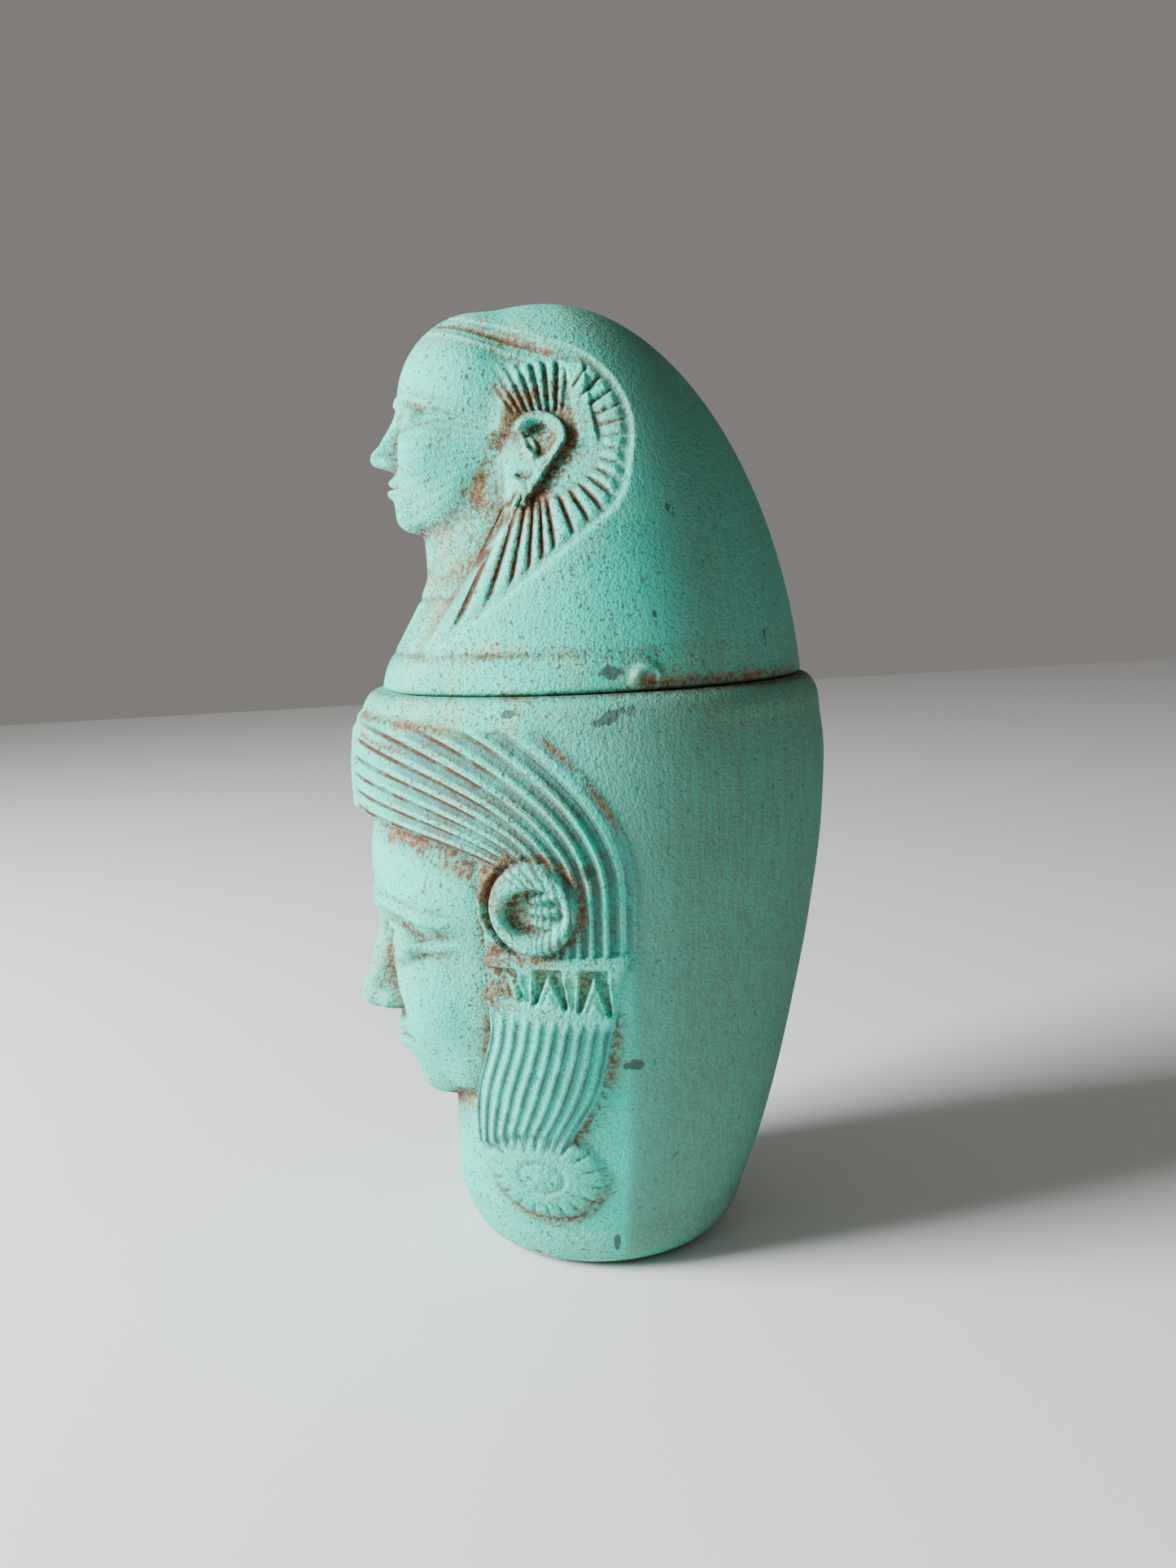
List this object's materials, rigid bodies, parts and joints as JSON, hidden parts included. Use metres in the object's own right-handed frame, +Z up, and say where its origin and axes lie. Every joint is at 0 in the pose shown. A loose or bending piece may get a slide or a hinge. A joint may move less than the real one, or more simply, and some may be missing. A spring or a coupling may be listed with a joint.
{
  "type": "canopic jar",
  "caption": "Hollow painted canopic jar with a face in relief between hair locks, and a lift-off lid shaped as a head in a wig.",
  "frame": {"origin": "middle of the jar's flat underside", "axes": "+Z up through the lid, both faces look along -Y, +X is the object's left side"},
  "size_m": [0.1002, 0.1011, 0.198],
  "materials": {
    "jar_body": "matt turquoise paint over a grey casting, brown dirt in the carving",
    "lid_body": "matt turquoise paint over a grey casting, brown dirt in the carving"
  },
  "bodies": {
    "root": {"jar": "jar_body", "lid": "lid_body"}
  },
  "joints": []
}
